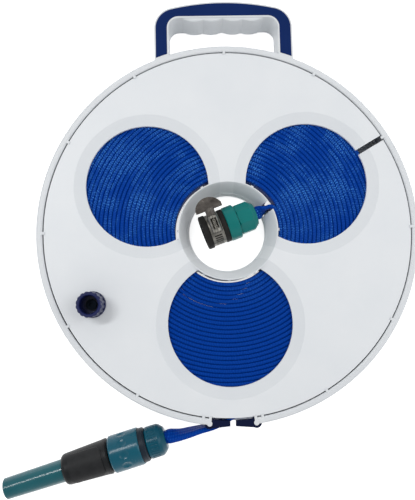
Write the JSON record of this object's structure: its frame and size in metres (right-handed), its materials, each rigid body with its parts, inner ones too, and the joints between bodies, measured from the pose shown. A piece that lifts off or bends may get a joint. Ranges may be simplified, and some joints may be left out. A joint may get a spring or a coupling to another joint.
{
  "type": "flat hose reel",
  "caption": "Slim round reel that stores a lay-flat garden hose on its flat, with a carrying handle, a crank knob, a tap connector in the hub and a twist nozzle.",
  "frame": {"origin": "middle of the box round the reel, without the free hose end and its nozzle, on the surface that it lies on", "axes": "+Z out of the front of the reel along the spool axis, +Y from the spool axis to the carrying handle"},
  "size_m": [0.3747, 0.4471, 0.0498],
  "materials": {
    "white_plastic": "satin",
    "drum_plastic": "milky",
    "navy_inlay": "satin",
    "navy_jaw": "satin",
    "knob_plastic": "gloss",
    "pin_steel": "plain",
    "hose": "braided film",
    "boot_rubber": "matte",
    "tap_teal": "gloss",
    "clamp_steel": "satin",
    "key_plastic": "smoky",
    "nozzle_teal": "gloss",
    "nozzle_grey": "satin",
    "soft_grip": "matte",
    "claw_plastic": "plain",
    "seal_rubber": "matte",
    "spring_steel": "plain"
  },
  "bodies": {
    "frame": {"ring_frame": "white_plastic", "handle_inlay": "navy_inlay", "exit_jaw_left": "navy_jaw", "exit_jaw_right": "navy_jaw", "hose_tail": "hose", "connector_body": "nozzle_grey", "lock_claws": "claw_plastic", "collar_spring": "spring_steel", "connector_nut": "nozzle_teal"},
    "spool": {"front_flange": "white_plastic", "rear_flange": "white_plastic", "hub_drum": "drum_plastic", "knob_pin": "pin_steel", "hose_coil": "hose", "tap_boot": "boot_rubber", "tap_body": "tap_teal", "tap_nut": "tap_teal", "clamp_band": "clamp_steel", "clamp_housing": "clamp_steel"},
    "knob": {"crank_knob": "knob_plastic"},
    "clamp_key": {"worm_screw": "clamp_steel", "thumb_key": "key_plastic"},
    "collar": {"lock_collar": "nozzle_teal"},
    "nozzle": {"nozzle_body": "nozzle_grey", "jet_pin": "pin_steel", "nozzle_seal": "seal_rubber", "nozzle_grip": "soft_grip"},
    "barrel_carrier": {"barrel_seal": "seal_rubber"},
    "barrel": {"nozzle_barrel": "nozzle_teal"}
  },
  "joints": [
    {"name": "spool_turn", "type": "hinge", "parent": "frame", "child": "spool", "pos_m": [0, -0.02044, 0.015], "axis": [0, 0, 1], "continuous": true},
    {"name": "knob_turn", "type": "hinge", "parent": "spool", "child": "knob", "pos_m": [-0.12143, -0.08474, 0.03], "axis": [0, 0, 1], "continuous": true},
    {"name": "clamp_screw_turn", "type": "hinge", "parent": "spool", "child": "clamp_key", "pos_m": [-0.0114, -0.01787, 0.03465], "axis": [-0.342, 0.9397, 0], "continuous": true},
    {"name": "collar_slide", "type": "slide", "parent": "frame", "child": "collar", "axis": [0.9613, 0.2756, 0], "range_m": [0, 0.004], "stiffness_N_per_m": 1500, "springref_m": -0.004, "deforming": ["collar_spring"]},
    {"name": "nozzle_swivel", "type": "hinge", "parent": "frame", "child": "nozzle", "pos_m": [-0.2, -0.24394, 0.0163], "axis": [0.9613, 0.2756, 0], "continuous": true},
    {"name": "barrel_travel", "type": "slide", "parent": "nozzle", "child": "barrel_carrier", "axis": [-0.9613, -0.2756, 0], "range_m": [0, 0.006]},
    {"name": "barrel_turn", "type": "hinge", "parent": "barrel_carrier", "child": "barrel", "pos_m": [-0.2, -0.24394, 0.0163], "axis": [-0.9613, -0.2756, 0], "range_deg": [0, 540]}
  ],
  "couplings": [
    {"joint": "barrel_travel", "follows": "barrel_turn", "m_per_rad": 0.00063662}
  ]
}
